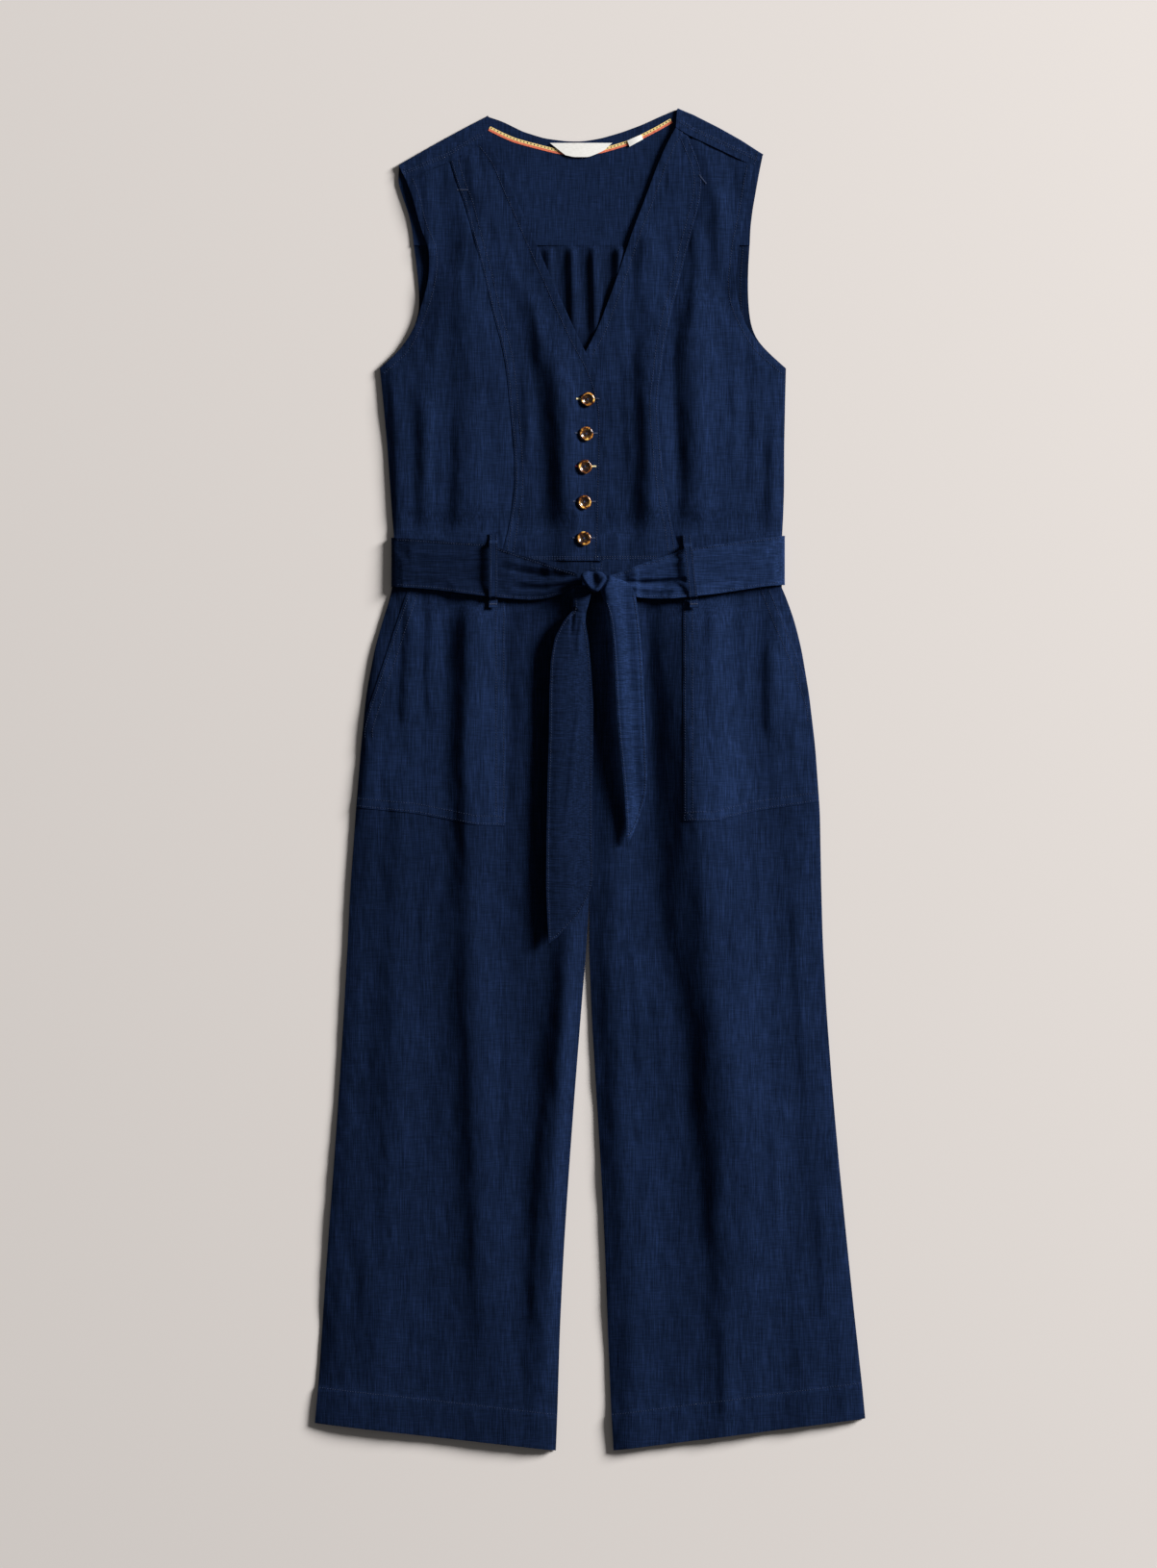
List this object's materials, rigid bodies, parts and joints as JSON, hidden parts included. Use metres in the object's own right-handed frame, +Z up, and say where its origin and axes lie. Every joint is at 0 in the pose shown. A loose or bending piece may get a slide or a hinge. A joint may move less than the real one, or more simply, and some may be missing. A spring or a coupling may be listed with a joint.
{
  "type": "jumpsuit",
  "caption": "Sleeveless navy linen jumpsuit with a V neck, buttoned front, patch pockets, wide straight legs and a tied belt, laid out flat on its back.",
  "frame": {"origin": "middle of the garment's outline, on the surface it lies on", "axes": "+X towards the wearer's left, +Y from the hems to the neck, +Z up from the surface, out of the garment's front"},
  "size_m": [0.584, 1.424, 0.0268],
  "materials": {
    "linen": "matt navy plain-weave linen, softly creased",
    "belt_linen": "matt navy plain-weave linen, pressed flat",
    "button_horn": "polished tortoiseshell resin",
    "tape": "matt printed cotton tape, cream and coral",
    "label": "smooth white woven label, bare"
  },
  "bodies": {
    "root": {"back_yoke": "linen", "back_bodice": "linen", "back_leg_right": "linen", "back_leg_left": "linen", "front_side_right": "linen", "front_centre_right": "linen", "front_centre_left": "linen", "front_side_left": "linen", "front_leg_right": "linen", "front_leg_left": "linen", "pocket_right": "linen", "pocket_left": "linen", "belt_right": "belt_linen", "belt_left": "belt_linen", "belt_back": "belt_linen", "belt_knot": "belt_linen", "belt_tail_long": "belt_linen", "belt_tail_short": "belt_linen", "belt_loop_right": "linen", "belt_loop_left": "linen", "button_1": "button_horn", "button_2": "button_horn", "button_3": "button_horn", "button_4": "button_horn", "button_5": "button_horn", "neck_tape": "tape", "neck_label": "label", "size_label": "label"}
  },
  "joints": []
}
